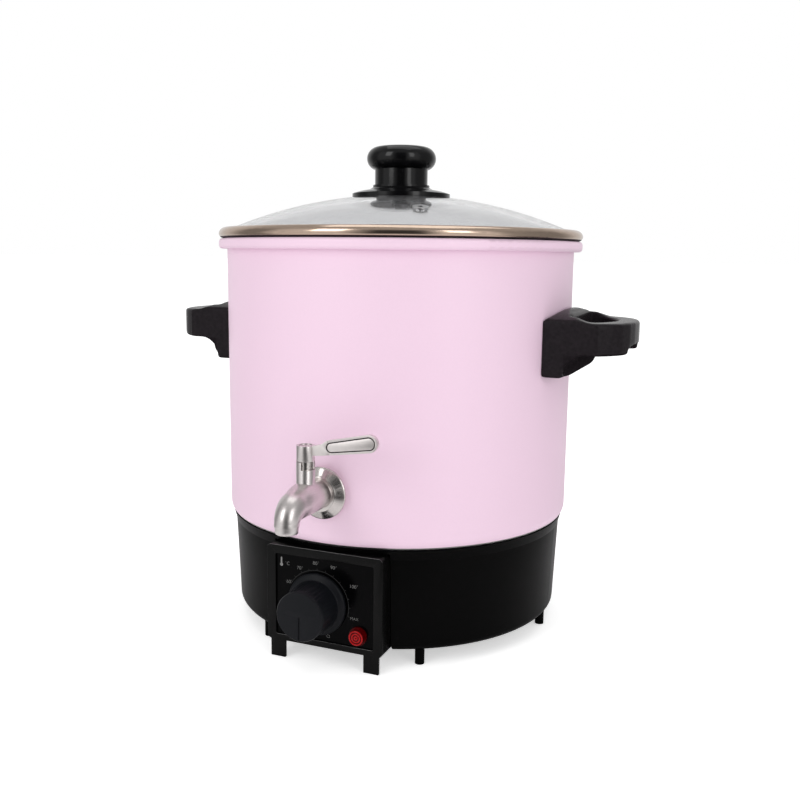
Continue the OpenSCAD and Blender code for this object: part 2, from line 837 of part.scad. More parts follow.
module element_clamp() {
    color("#9fa1a4") difference() {
        translate([0, 0, clamp_z]) union() {
            cylinder(r = 16, h = 1.8);
            for (i = [0 : 2]) rotate(30 + 120 * i) translate([0, -8, 0]) cube([element_r + 5, 16, 1.8]);
        }
        translate([0, 0, clamp_z - 1]) cylinder(r = stud_r, h = 4);
    }
}

module clamp_nut() {
    color("silver") translate([0, 0, clamp_z - 5]) difference() {
        hex(10, 5);
        translate([0, 0, -1]) cylinder(r = stud_r, h = 7);
    }
}

module shield_spacer() {
    low = shield_z + 1.2;
    color("silver") translate([0, 0, low]) ring(5, stud_r, clamp_z - 5 - low);
}

// a shallow pan that keeps the heat off the wiring
module heat_shield() {
    color("#a9abad") translate([0, 0, shield_z]) difference() {
        union() {
            cylinder(r = shield_r, h = 1.2);
            ring(shield_r, shield_r - 1.2, 6);
        }
        translate([0, 0, -1]) cylinder(r = stud_r, h = 4);
        rotate(90) translate([element_r, 0, -1]) cylinder(r = 24, h = 10);
        translate([-25, -shield_r - 1, -1]) cube([75, 22, 10]);
        rotate(cutout_a) translate([cutout_r + 8, 0, -1]) cylinder(r = 16, h = 10);
    }
}

module shield_nut() {
    color("silver") translate([0, 0, shield_z - 5]) difference() {
        hex(10, 5);
        translate([0, 0, -1]) cylinder(r = stud_r, h = 7);
    }
}

// one-shot temperature fuse in its cup, against the underside of the spreader
cutout_a = 200;
cutout_r = spreader_r - 10;

module thermal_cutout() {
    color("#d8d2c4") rotate(cutout_a) translate([cutout_r, 0, 0]) {
        translate([0, 0, spreader_z - 1.5]) cylinder(r = 8, h = 1.5);
        translate([0, 0, spreader_z - 11]) cylinder(r = 7, h = 10);
        for (y = [-3, 3]) translate([-2, y - 0.4, spreader_z - 17]) cube([4, 0.8, 6.5]);
    }
}

// ---------------------------------------------------------------- wiring

block_x = 24;
block_y = 46;
block_z = base_z + cover_t;
block_size = [28, 18, 14];
block_screw_x = block_x + 14;
block_screw_y = [block_y - 2.5, block_y + block_size[1] + 2.5];
block_screw_r = 1.3;
wire_r = 1.2;

module terminal_block() {
    color("#e9e5dc") difference() {
        union() {
            translate([block_x, block_y, block_z]) cube(block_size);
            translate([block_screw_x - 5, block_y - 6, block_z]) cube([10, block_size[1] + 12, 3]);
        }
        for (y = block_screw_y)
            translate([block_screw_x, y, block_z - 1]) cylinder(r = block_screw_r, h = 5);
        for (i = [0 : 2]) translate([block_x + 5 + 9 * i, block_y + 9, block_z + 6])
            cylinder(r = 1.9, h = 20);
    }
}

module terminal_screws() {
    color("#c9a24b") for (i = [0 : 2])
        translate([block_x + 5 + 9 * i, block_y + 9, block_z + 6]) cylinder(r = 1.9, h = 6);
}

module block_screws() {
    color("silver") for (y = block_screw_y) translate([block_screw_x, y, 0]) {
        translate([0, 0, base_z - 1.4]) cylinder(r = 2.6, h = 1.4);
        translate([0, 0, base_z - 1]) cylinder(r = block_screw_r, h = 6);
    }
}

// block to thermostat, thermostat to fuse, fuse to element, element back to the
// block, and the lamp's two leads
module wiring() {
    top = block_z + 6;
    pin = element_r * [cos(76), sin(76)];
    pin_z = element_z - pin_drop;
    cut = cutout_r * [cos(cutout_a), sin(cutout_a)];
    cut_z = spreader_z - 17;
    tab_y = box_front + face_t + 28;
    tab_z = knob_z + 4.5;
    lamp_y = panel_y + 27;
    color("#a8322a") wire([
        [block_x, block_y + 5, top], [10, 44, top], [-44, 10, top + 2], [-34, -60, top + 4],
        [knob_x - 11, tab_y + 8, knob_z - 4], [knob_x - 11, tab_y, tab_z]
    ], wire_r);
    color("#a8322a") wire([
        [knob_x + 11, tab_y, tab_z], [knob_x + 11, tab_y + 8, knob_z + 4], [-40, -78, top + 24],
        [cut[0] - 16, cut[1] - 12, top + 16], [cut[0] - 2, cut[1] - 4, cut_z - 4], [cut[0], cut[1] - 3, cut_z]
    ], wire_r);
    color("#a8322a") wire([
        [cut[0], cut[1] + 4, cut_z], [cut[0] - 2, cut[1] + 5, cut_z - 5],
        [cut[0] - 14, cut[1] + 20, top + 18], [-60, 44, top + 16], [-pin[0], pin[1], pin_z - 6],
        [-pin[0], pin[1], pin_z]
    ], wire_r);
    color("#2c4f8f") wire([
        [pin[0], pin[1], pin_z], [pin[0], pin[1], pin_z - 6], [pin[0] + 3, pin[1] + 14, top + 8],
        [block_x + 5, block_y + block_size[1] + 10, top], [block_x + 5, block_y + block_size[1], top]
    ], wire_r);
    color("#a8322a") wire([
        [lamp_x - 2, lamp_y, lamp_z], [lamp_x - 3, lamp_y + 16, lamp_z],
        [block_x + 4, 10, top], [block_x + 4, block_y, top]
    ], wire_r);
    color("#2c4f8f") wire([
        [lamp_x + 2, lamp_y, lamp_z], [lamp_x + 5, lamp_y + 16, lamp_z],
        [block_x + 23, 10, top], [block_x + 23, block_y, top]
    ], wire_r);
}

// ---------------------------------------------------------------- mains inlet

gland_z = base_z + 17;
gland_r = 6;
gland_bore_r = 3.7;
wall_y = sqrt(collar_r * collar_r - gland_r * gland_r) - 1.2;

module cord_gland() {
    color("#0f0f10") difference() {
        union() {
            rod_y([0, wall_y - 12, gland_z], gland_r, 14);
            rod_y([0, wall_y + 1, gland_z], 9, 4);
            rod_y([0, wall_y + 4, gland_z], 7, 8);
        }
        rod_y([0, wall_y - 15, gland_z], gland_bore_r, 40);
    }
}

module gland_nut() {
    color("#0f0f10") difference() {
        translate([0, wall_y - 5, gland_z]) rotate([90, 0, 0]) hex(17, 4);
        rod_y([0, wall_y - 15, gland_z], gland_r, 20);
    }
}

pot();
handle_left();
handle_right();
handle_screws();
handle_washers();
tap_body();
tap_flange();
tap_outer_seal();
tap_inner_seal();
tap_nut();
tap_valve_plug();
tap_stem_rings();
tap_cap();
tap_lever();
tap_cap_screw();
lid_glass();
lid_rim_band();
lid_vent_eyelet();
lid_knob();
lid_knob_base();
lid_knob_seal();
lid_knob_screw();
base_shell();
base_cover();
base_feet();
cover_screws();
pot_studs();
stud_nuts();
control_box();
control_box_screws();
control_panel();
thermostat_body();
thermostat_nut();
thermostat_shaft();
thermostat_knob();
capillary_tube();
sensor_bulb();
bulb_clip();
pilot_lamp_lens();
pilot_lamp_body();
pilot_lamp_clip();
heat_spreader();
heating_element();
element_clamp();
clamp_nut();
shield_spacer();
heat_shield();
shield_nut();
thermal_cutout();
terminal_block();
terminal_screws();
block_screws();
wiring();
cord_gland();
gland_nut();
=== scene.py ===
import bmesh
import bpy
import math
from mathutils import Matrix, Vector


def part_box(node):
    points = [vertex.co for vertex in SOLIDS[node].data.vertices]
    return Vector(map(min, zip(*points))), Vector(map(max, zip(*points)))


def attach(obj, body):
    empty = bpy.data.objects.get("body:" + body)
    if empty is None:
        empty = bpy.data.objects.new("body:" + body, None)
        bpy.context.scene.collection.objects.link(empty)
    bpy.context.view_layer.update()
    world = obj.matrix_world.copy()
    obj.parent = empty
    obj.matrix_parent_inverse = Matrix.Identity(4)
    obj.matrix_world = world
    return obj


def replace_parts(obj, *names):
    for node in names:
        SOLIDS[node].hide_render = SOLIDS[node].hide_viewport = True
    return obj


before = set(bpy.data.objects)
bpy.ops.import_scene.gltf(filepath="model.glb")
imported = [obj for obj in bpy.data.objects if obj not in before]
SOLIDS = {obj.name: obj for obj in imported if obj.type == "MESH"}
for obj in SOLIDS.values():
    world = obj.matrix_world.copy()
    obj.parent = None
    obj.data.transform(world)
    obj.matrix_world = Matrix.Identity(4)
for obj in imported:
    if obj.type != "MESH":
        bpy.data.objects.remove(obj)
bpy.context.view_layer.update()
MM = 0.001
CAMERA_TURN = math.radians(22)
RIM_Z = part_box("pot")[1].z


# ---------------------------------------------------------------- camera
def set_camera():
    """The camera as fitted to the photo, in front of the piece and turned towards its right side."""
    yaw, pitch, roll = (math.radians(angle) for angle in (-0.365, 9.04, 0.61))
    stand = Vector((0, -0.7068, 0.2762))
    sensor, photo_px, focal_px = 36, 800, 914.2
    centre_px = (7, -0.3)
    forward = Vector((math.sin(yaw) * math.cos(pitch), math.cos(yaw) * math.cos(pitch), -math.sin(pitch)))
    level = Vector((math.cos(yaw), -math.sin(yaw), 0))
    plumb = level.cross(forward)
    right = math.cos(roll) * level + math.sin(roll) * plumb
    up = -math.sin(roll) * level + math.cos(roll) * plumb
    turn = Matrix.Rotation(CAMERA_TURN, 3, "Z")
    axes = Matrix((turn @ right, turn @ up, -(turn @ forward))).transposed().to_4x4()
    data = bpy.data.cameras.new("camera")
    data.sensor_width = sensor
    data.lens = focal_px * sensor / photo_px
    data.shift_x = centre_px[0] / photo_px
    data.shift_y = centre_px[1] / photo_px
    camera = bpy.data.objects.new("camera", data)
    camera.matrix_world = Matrix.Translation(turn @ stand) @ axes
    bpy.context.scene.collection.objects.link(camera)
    bpy.context.scene.camera = camera


# ---------------------------------------------------------------- node trees
def wired(tree, kind, values=(), **settings):
    """A new node. Of its inputs, those given as a socket are linked and the others are set."""
    node = tree.nodes.new(kind)
    for name, value in settings.items():
        setattr(node, name, value)
    for key, value in dict(values).items():
        if isinstance(value, bpy.types.NodeSocket):
            tree.links.new(value, node.inputs[key])
        else:
            node.inputs[key].default_value = value
    return node


def maths(tree, kind, *values):
    return wired(tree, "ShaderNodeMath", enumerate(values), operation=kind).outputs[0]


def span(tree, value, start, end):
    """0 where the value is at start, 1 where it is at end."""
    limits = {"Value": value, "From Min": start, "From Max": end}
    return wired(tree, "ShaderNodeMapRange", limits).outputs["Result"]


def blended(tree, share, first, second):
    """The first colour where share is 0, the second where it is 1."""
    return wired(tree, "ShaderNodeMix", {"Factor": share, 6: first, 7: second}, data_type="RGBA").outputs[2]


def color_steps(tree, value, steps):
    """The colours of the steps, each a position and a colour, with even passages between them."""
    node = wired(tree, "ShaderNodeValToRGB", {"Fac": value})
    keys = node.color_ramp.elements
    for position, _ in steps[1:-1]:
        keys.new(position)
    for key, (position, color) in zip(keys, steps):
        key.position = position
        key.color = (*color, 1)
    return node.outputs["Color"]


# ---------------------------------------------------------------- materials
SURFACE_INPUTS = {"metal": "Metallic", "spec": "Specular IOR Level", "ior": "IOR", "coat": "Coat Weight",
                  "transmission": "Transmission Weight"}
FINISH = {}


def material(name, color, rough, grain, bump=0.02, vary=0.04, stretch=(1, 1, 1), emit=0.0, **more):
    """A surface with a fine procedural grain in its colour, gloss and relief."""
    gloss_swing, relief_height, coat_rough = 0.15, 0.5 * MM, 0.06
    made = bpy.data.materials.new(name)
    made.use_nodes = True
    tree = made.node_tree
    surface = tree.nodes["Principled BSDF"]
    place = wired(tree, "ShaderNodeTexCoord").outputs["Object"]
    place = wired(tree, "ShaderNodeMapping", {"Vector": place, "Scale": stretch}).outputs["Vector"]
    noise = wired(tree, "ShaderNodeTexNoise", {"Vector": place, "Scale": grain, "Detail": 5}).outputs["Fac"]
    darker = [c * (1 - vary) for c in color]
    lighter = [min(1, c * (1 + vary)) for c in color]
    gloss = wired(tree, "ShaderNodeMapRange", {
        "Value": noise, "To Min": rough * (1 - gloss_swing), "To Max": rough * (1 + gloss_swing)})
    relief = wired(tree, "ShaderNodeBump", {"Height": noise, "Strength": bump, "Distance": relief_height})
    tree.links.new(color_steps(tree, noise, [(0.3, darker), (0.7, lighter)]), surface.inputs["Base Color"])
    tree.links.new(gloss.outputs["Result"], surface.inputs["Roughness"])
    tree.links.new(relief.outputs["Normal"], surface.inputs["Normal"])
    surface.inputs["Coat Roughness"].default_value = coat_rough
    for key, value in more.items():
        surface.inputs[SURFACE_INPUTS[key]].default_value = value
    if emit:
        surface.inputs["Emission Color"].default_value = (*color, 1)
        surface.inputs["Emission Strength"].default_value = emit
    return made


def steel_inside(coated, radius):
    """The pot is coated on the outside only: nearer to its axis than radius it is bare steel."""
    bare_steel = (0.5, 0.49, 0.48, 1)
    tree = coated.node_tree
    surface = tree.nodes["Principled BSDF"]
    place = wired(tree, "ShaderNodeTexCoord").outputs["Object"]
    split = wired(tree, "ShaderNodeSeparateXYZ", {"Vector": place}).outputs
    flat = wired(tree, "ShaderNodeCombineXYZ", {"X": split["X"], "Y": split["Y"]}).outputs["Vector"]
    from_axis = wired(tree, "ShaderNodeVectorMath", {0: flat}, operation="LENGTH").outputs["Value"]
    bare = maths(tree, "LESS_THAN", from_axis, radius)
    coating = surface.inputs["Base Color"].links[0].from_socket
    tree.links.new(blended(tree, bare, coating, bare_steel), surface.inputs["Base Color"])
    tree.links.new(bare, surface.inputs["Metallic"])


def add_finish(name, *look, **more):
    """A finish that pieces can wear, found by its name."""
    FINISH[name] = material(name, *look, **more)


add_finish("pot_coating", (0.9, 0.665, 0.81), 0.42, 700, bump=0.03, vary=0.008)
add_finish("knob_gloss", (0.003, 0.003, 0.0035), 0.13, 500, vary=0.2, spec=0.3)
add_finish("handle_gloss", (0.016, 0.0135, 0.0155), 0.24, 500, vary=0.2, spec=0.05)
# painted shade: a darker, matt copy of the handle finish for the faces under the grip
add_finish("handle_painted_shade", (0.013, 0.011, 0.0125), 0.5, 500, vary=0.2, spec=0.0)
add_finish("base_black", (0.0012, 0.0012, 0.0012), 0.34, 900, bump=0.03, vary=0.2, spec=0.04)
add_finish("box_black", (0.0015, 0.0015, 0.0015), 0.24, 900, vary=0.2, spec=0.14)
# painted highlight: a lighter colour for the box's top front edge, with a clear coat
add_finish("box_edge_painted_highlight", (0.085, 0.085, 0.085), 0.3, 900, vary=0.2, coat=1.0)
add_finish("cover_black", (0.02, 0.02, 0.021), 0.5, 400, bump=0.1, vary=0.2)
add_finish("panel_black", (0.001, 0.001, 0.0012), 0.16, 300, bump=0.01, vary=0.2, spec=0.05)
add_finish("knob_black", (0.0055, 0.0062, 0.0082), 0.42, 1500, bump=0.08, vary=0.15, spec=0.14)
add_finish("tap_steel", (0.68, 0.64, 0.63), 0.32, 260, bump=0.04, vary=0.05, stretch=(1, 1, 9), metal=1)
add_finish("flange_steel", (0.66, 0.62, 0.6), 0.18, 300, bump=0.01, metal=1)
add_finish("lever_steel", (0.78, 0.735, 0.72), 0.42, 300, bump=0.04, metal=1)
# painted shade: a dark finish for the floor of the lever's groove and the lower outer faces of the lid's band
add_finish("painted_shade", (0.05, 0.043, 0.042), 0.6, 400, bump=0.05, vary=0.2, metal=1)
add_finish("rim_steel", (0.56, 0.43, 0.34), 0.15, 200, vary=0.08, stretch=(1, 1, 12), metal=1)
add_finish("fixing_steel", (0.6, 0.6, 0.61), 0.3, 400, bump=0.04, vary=0.06, metal=1)
add_finish("lid_glass", (0.87, 0.873, 0.885), 0.02, 40, bump=0.001, vary=0.02, transmission=0.95, ior=1.3)
add_finish("silicone", (0.78, 0.75, 0.72), 0.5, 500, bump=0.05)
add_finish("dark_rubber", (0.02, 0.02, 0.02), 0.6, 600, bump=0.1, vary=0.15)
add_finish("aluminium", (0.66, 0.67, 0.68), 0.38, 350, bump=0.05, metal=1)
add_finish("element_sheath", (0.2, 0.19, 0.18), 0.45, 180, bump=0.08, vary=0.2, metal=1)
add_finish("copper", (0.72, 0.36, 0.2), 0.3, 250, bump=0.03, vary=0.08, metal=1)
add_finish("terminal_brass", (0.72, 0.52, 0.2), 0.3, 250, bump=0.03, vary=0.06, metal=1)
add_finish("ceramic", (0.74, 0.69, 0.6), 0.6, 500, bump=0.08)
add_finish("lamp_red", (0.05, 0.0, 0.0005), 0.15, 300, vary=0.15, spec=0.12, emit=0.25)
add_finish("lamp_ring_red", (0.32, 0.0008, 0.002), 0.2, 300, vary=0.1, spec=0.3, emit=0.25)
add_finish("lamp_white", (0.78, 0.75, 0.7), 0.5, 400, bump=0.04)
add_finish("wire_insulation", (0.4, 0.03, 0.02), 0.4, 300, bump=0.04, vary=0.1)
add_finish("panel_print", (0.24, 0.24, 0.235), 0.5, 2500, vary=0.12, spec=0.1)
add_finish("scale_print", (0.05, 0.05, 0.05), 0.5, 2500, vary=0.12, spec=0.1)
COATING_INNER_R = 128.5 * MM
steel_inside(FINISH["pot_coating"], COATING_INNER_R)

WEARERS = {
    "pot_coating": ["pot"],
    "knob_gloss": ["lid_knob", "lid_knob_base"],
    "base_black": ["base_shell", "base_feet", "cord_gland", "gland_nut"],
    "box_black": ["control_box"],
    "cover_black": ["base_cover"],
    "panel_black": ["control_panel"],
    "knob_black": ["thermostat_knob"],
    "tap_steel": ["tap_body", "tap_nut", "tap_cap", "tap_cap_screw"],
    "flange_steel": ["tap_flange", "tap_valve_plug"],
    "lever_steel": ["tap_lever"],
    "rim_steel": ["lid_rim_band"],
    "fixing_steel": ["lid_vent_eyelet", "handle_screws", "handle_washers", "lid_knob_screw", "cover_screws",
                     "pot_studs", "stud_nuts", "control_box_screws", "thermostat_nut", "thermostat_shaft",
                     "bulb_clip", "pilot_lamp_clip", "clamp_nut", "shield_spacer", "shield_nut",
                     "block_screws"],
    "lid_glass": ["lid_glass"],
    "silicone": ["tap_outer_seal", "tap_inner_seal"],
    "dark_rubber": ["tap_stem_rings", "lid_knob_seal"],
    "aluminium": ["heat_spreader", "element_clamp", "heat_shield"],
    "element_sheath": ["heating_element"],
    "copper": ["capillary_tube", "sensor_bulb"],
    "terminal_brass": ["terminal_screws"],
    "ceramic": ["thermostat_body", "thermal_cutout", "terminal_block"],
    "lamp_red": ["pilot_lamp_lens"],
    "lamp_white": ["pilot_lamp_body"],
    "wire_insulation": ["wiring"],
}


def paint(piece, finish):
    """The piece wears one finish all over."""
    if not piece.material_slots:
        piece.data.materials.append(FINISH[finish])
    for slot in piece.material_slots:
        slot.material = FINISH[finish]


def paint_part(piece, finish, chosen):
    """The faces for which chosen(face) holds wear a second finish."""
    piece.data.materials.append(FINISH[finish])
    for face in piece.data.polygons:
        face.material_index = 1 if chosen(face) else 0


for finish, nodes in WEARERS.items():
    for node in nodes:
        paint(SOLIDS[node], finish)


# ---------------------------------------------------------------- shapes
def new_piece(mesh, name):
    piece = bpy.data.objects.new(name, mesh)
    bpy.context.scene.collection.objects.link(piece)
    return piece


def outwards(mesh):
    """All faces of the closed mesh point outwards."""
    b = bmesh.new()
    b.from_mesh(mesh)
    bmesh.ops.recalc_face_normals(b, faces=b.faces)
    b.to_mesh(mesh)
    b.free()


def built(verts, faces, name):
    """A piece from its corners, in millimetres, and its faces."""
    mesh = bpy.data.meshes.new(name)
    mesh.from_pydata([[length * MM for length in vert] for vert in verts], [], faces)
    outwards(mesh)
    return new_piece(mesh, name)


def copy_of(node, name):
    """A welded copy of a solid, with its flat faces joined, ready to be finished."""
    weld_gap, flat_angle = 0.002 * MM, math.radians(0.6)
    mesh = SOLIDS[node].data.copy()
    mesh.transform(SOLIDS[node].matrix_world)
    mesh.materials.clear()
    b = bmesh.new()
    b.from_mesh(mesh)
    bmesh.ops.remove_doubles(b, verts=b.verts, dist=weld_gap)
    bmesh.ops.dissolve_limit(b, angle_limit=flat_angle, verts=b.verts, edges=b.edges)
    b.to_mesh(mesh)
    b.free()
    return new_piece(mesh, name)


def smoothed(mesh, crease):
    """Smooth shading that breaks at edges sharper than crease."""
    mesh.shade_smooth()
    mesh.set_sharp_from_angle(angle=math.radians(crease))


def applied(piece, crease=32):
    """The piece with its modifiers worked into its mesh."""
    deps = bpy.context.evaluated_depsgraph_get()
    mesh = bpy.data.meshes.new_from_object(piece.evaluated_get(deps))
    piece.modifiers.clear()
    piece.data = mesh
    smoothed(mesh, crease)
    return piece


def bevelled(piece, width, angle, segments):
    """Every edge sharper than angle gets a rounding of this width, still to be applied."""
    edge = piece.modifiers.new("edge", "BEVEL")
    edge.width = width * MM
    edge.segments = segments
    edge.limit_method = "ANGLE"
    edge.angle_limit = math.radians(angle)
    return piece


def skinned(piece, cell):
    """One closed skin over all the shells of the piece, still to be applied."""
    skin = piece.modifiers.new("skin", "REMESH")
    skin.mode = "VOXEL"
    skin.voxel_size = cell * MM
    return piece


def joined(name, *pieces):
    """Several closed shells in one mesh."""
    b = bmesh.new()
    for piece in pieces:
        b.from_mesh(piece.data)
        bpy.data.objects.remove(piece)
    mesh = bpy.data.meshes.new(name)
    b.to_mesh(mesh)
    b.free()
    return new_piece(mesh, name)


def without(piece, cutter):
    """The piece less the cutter."""
    cut = piece.modifiers.new("cut", "BOOLEAN")
    cut.object = cutter
    cut.operation = "DIFFERENCE"
    applied(piece)
    bpy.data.objects.remove(cutter)
    return piece


def stands_for(piece, node, body):
    """The piece is shown in place of the solid, moves with its body and keeps its finish."""
    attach(piece, body)
    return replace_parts(piece, node)


def eased(node, body, radius, finish, crease):
    """The solid with its edges rounded off."""
    piece = applied(bevelled(copy_of(node, node + "_eased"), radius, crease, 3), crease)
    paint(piece, finish)
    return stands_for(piece, node, body)


def arc(centre, radius, first, last, steps):
    """Points along an arc between two angles in degrees."""
    turns = [math.radians(first + (last - first) * i / steps) for i in range(steps + 1)]
    return [(centre[0] + radius * math.cos(t), centre[1] + radius * math.sin(t)) for t in turns]


def two_round(centre, radius, far_centre, far_radius, steps=24):
    """Outline of two round ends and the lines that touch both."""
    along = math.degrees(math.atan2(far_centre[1] - centre[1], far_centre[0] - centre[0]))
    touch = math.degrees(math.acos((radius - far_radius) / math.dist(centre, far_centre)))
    near_end = arc(centre, radius, along + touch, along - touch + 360, steps)
    return near_end + arc(far_centre, far_radius, along - touch, along + touch, steps)


def block(outline, low, high, name, upright=False):
    """A block from an outline: upright ones rise along Z from an XY outline, others run along Y."""
    n = len(outline)
    if upright:
        verts = [(u, v, end) for end in (low, high) for u, v in outline]
    else:
        verts = [(u, end, v) for end in (low, high) for u, v in outline]
    faces = [tuple(range(n)), tuple(range(2 * n - 1, n - 1, -1))]
    faces += [(i, i + n, (i + 1) % n + n, (i + 1) % n) for i in range(n)]
    return built(verts, faces, name)


def turned(profile, name, steps=180, crease=40):
    """A closed outline of (radius, height) points turned round the Z axis."""
    n = len(profile)
    verts = []
    for k in range(steps):
        a = 2 * math.pi * k / steps
        verts += [(r * math.cos(a), r * math.sin(a), z) for r, z in profile]
    faces = [(k * n + i, k * n + (i + 1) % n, (k + 1) % steps * n + (i + 1) % n, (k + 1) % steps * n + i)
             for k in range(steps) for i in range(n)]
    piece = built(verts, faces, name)
    smoothed(piece.data, crease)
    return piece


def pipe(path, wall, sides, name):
    """An open pipe in the YZ plane along (depth, height, downward turn, radius) rows."""
    n = len(path)
    verts = []
    for inset in (0, wall):
        for y, z, turn, radius in path:
            for across, up in arc((0, 0), radius - inset, 0, 360 * (sides - 1) / sides, sides - 1):
                verts.append((across, y - up * math.sin(turn), z + up * math.cos(turn)))

    def corner(row, k):
        return row * sides + k % sides

    faces = []
    for j in range(n - 1):
        inner = n + j
        for k in range(sides):
            faces.append((corner(j, k), corner(j, k + 1), corner(j + 1, k + 1), corner(j + 1, k)))
            faces.append((corner(inner, k), corner(inner + 1, k),
                          corner(inner + 1, k + 1), corner(inner, k + 1)))
    for j in (0, n - 1):
        for k in range(sides):
            faces.append((corner(j, k), corner(n + j, k), corner(n + j, k + 1), corner(j, k + 1)))
    return built(verts, faces, name)


# ---------------------------------------------------------------- handles
PLATE_FACE = 137.0
GRIP_DEPTHS = 8.0, 30.0


def handle_tip(side, low, high):
    """The fuller outer end of the grip."""
    outside = [(150, 44.8), (157, 44.6), (163, 42.6), (168.5, 38.6), (173.6, 33), (177.4, 22), (179.4, 11)]
    end = [(180, 0)]
    inside = [(166, 34), (172, 0), (166, -34)]
    plan = [(x, -y) for x, y in outside] + end + outside[::-1] + inside
    return block([(side * x, y) for x, y in plan], low, high, "tip", True)


def handle_web(side, low, grip_low):
    """The rounded web between the plate and the underside of the grip."""
    reach, rise, half_width, sunk = 8.5, 11.0, 37, 3
    turns = [math.radians(t) for t in range(0, 91, 10)]
    curve = [(PLATE_FACE + reach * math.sin(t), low + rise * (1 - math.cos(t))) for t in turns]
    back = [(PLATE_FACE + reach, grip_low + sunk), (PLATE_FACE - sunk, grip_low + sunk),
            (PLATE_FACE - sunk, low)]
    return block([(side * x, z) for x, z in curve + back], -half_width, half_width, "web")


def finger_scoop(side, grip_low):
    """The hollow under the grip's end, cut along X."""
    half_width, depth, squareness, steps = 23.0, 5.5, 0.6, 32
    inner_end, length = 150, 60

    def squared(level):
        return math.copysign(abs(level) ** squareness, level)

    turns = [2 * math.pi * i / steps for i in range(steps)]
    roof = [(half_width * squared(math.cos(t)), grip_low + depth * squared(math.sin(t))) for t in turns]
    scoop = block(roof, 0, length, "scoop")
    scoop.data.transform(Matrix.Rotation(-math.pi / 2, 4, "Z"))
    start = inner_end if side > 0 else -inner_end - length
    scoop.data.transform(Matrix.Translation((start * MM, 0, 0)))
    outwards(scoop.data)
    return scoop


def handle(side):
    """One side handle: the solid with its tip, web and scoop, and all its edges rounded."""
    node = "handle_right" if side > 0 else "handle_left"
    low, high = (corner.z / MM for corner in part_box(node))
    grip_top, grip_low = (high - depth for depth in GRIP_DEPTHS)
    tip_gap, web_gap = 0.4, 0.8
    tip = handle_tip(side, grip_low + tip_gap, grip_top - tip_gap)
    web = handle_web(side, low + web_gap, grip_low)
    piece = joined(node + "_moulded", copy_of(node, "blank"), tip, web)
    scoop = finger_scoop(side, grip_low)
    applied(skinned(piece, 0.75))
    skinned(without(piece, scoop), 0.8)
    soft = piece.modifiers.new("soft", "SMOOTH")
    soft.iterations = 26
    applied(piece, 80)
    web_low_of, web_out_of, downwards = (grip_low + 0.3) * MM, (PLATE_FACE + 0.3) * MM, -0.3

    def underneath(face):
        on_web = face.center.z < web_low_of and abs(face.center.x) > web_out_of
        return on_web or face.normal.z < downwards

    # The downward faces and the web's underside wear painted shade: a darker matt copy of the handle's own
    # finish.
    paint(piece, "handle_gloss")
    paint_part(piece, "handle_painted_shade", underneath)
    stands_for(piece, node, "body")


# ---------------------------------------------------------------- tap
BARREL_Z = 121.0
STEM_Y = -155.5


def spout_skin():
    """Outer skin of the tap: it swells from the flange to the stem and tapers to the outlet."""
    # depth, height over the barrel's axis, radius
    barrel = [(-137.6, 0, 9.06), (-140, 0.1, 9.3), (-144, 0.7, 9.9), (-148.5, 1.5, 10.6), (STEM_Y, 2.1, 11.0),
              (-160, 1.9, 10.8), (-165, 1.4, 10.3), (-168, 1.0, 9.9)]
    bend_y, bend_r, bend_steps, fuller = -170.5, 10.0, 20, 0.6
    bend_from, bend_to = 9.5, 7.5
    outlet_drop, outlet_r, lip = 14.2, 7.1, 0.3
    straight_down = math.pi / 2
    path = [(y, BARREL_Z + rise, 0, r) for y, rise, r in barrel]
    for i in range(bend_steps + 1):
        t = i / bend_steps
        turn = straight_down * t
        reach = bend_r + fuller * (1 - t)
        path.append((bend_y - reach * math.sin(turn), BARREL_Z - bend_r + reach * math.cos(turn), turn,
                     bend_from + (bend_to - bend_from) * t))
    for above, r in [(2, outlet_r + 0.2), (lip, outlet_r), (0, outlet_r - lip)]:
        path.append((bend_y - bend_r, BARREL_Z - outlet_drop + above, straight_down, r))
    stem_bore_r, bore_sides = 5.3, 48
    bore = arc((0, STEM_Y), stem_bore_r, 0, 360 * (bore_sides - 1) / bore_sides, bore_sides - 1)
    cutter = block(bore, BARREL_Z + 2, BARREL_Z + 20, "stem_bore", True)
    return without(pipe(path, 1.0, 72, "spout_skin"), cutter)


def lever_panels():
    """The raised panel on each side of the blade, and painted shade in the groove round it: a thin dark sheet
    on the groove's floor.
    """
    root, tip = (18.6, 157.3), (44.1, 161.9)
    root_r, tip_r = 3.4, 4.3
    groove_width, edge_gap = 0.75, 0.02
    floor, face, sunk, shade_height = 1.3, 1.72, 0.1, 0.05
    for side, tag in ((-1, "front"), (1, "back")):
        deep, shade_top, panel_top = (STEM_Y + side * depth
                                      for depth in (floor - sunk, floor + shade_height, face))
        shade_plan = two_round(root, root_r - edge_gap, tip, tip_r - edge_gap)
        panel_plan = two_round(root, root_r - groove_width, tip, tip_r - groove_width)
        # Painted shade: a thin dark sheet on the groove's floor, where the groove lies in shade.
        shade = block(shade_plan, deep, shade_top, "lever_groove_painted_shade_" + tag)
        panel = block(panel_plan, deep, panel_top, "lever_panel_" + tag)
        applied(bevelled(panel, 0.12, 50, 2), 50)
        paint(shade, "painted_shade")
        paint(panel, "lever_steel")
        for piece in (shade, panel):
            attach(piece, "tap_handle")


def tap():
    """The tap: body, flange, cap and lever."""
    casting = applied(bevelled(copy_of("tap_body", "blank"), 0.4, 60, 2))
    body = applied(joined("tap_body_smooth", casting, spout_skin()), 34)
    paint(body, "tap_steel")
    stands_for(body, "tap_body", "body")
    eased("tap_flange", "body", 0.25, "flange_steel", 20)
    eased("tap_cap", "tap_handle", 0.45, "tap_steel", 40)
    eased("tap_lever", "tap_handle", 0.5, "lever_steel", 40)
    lever_panels()


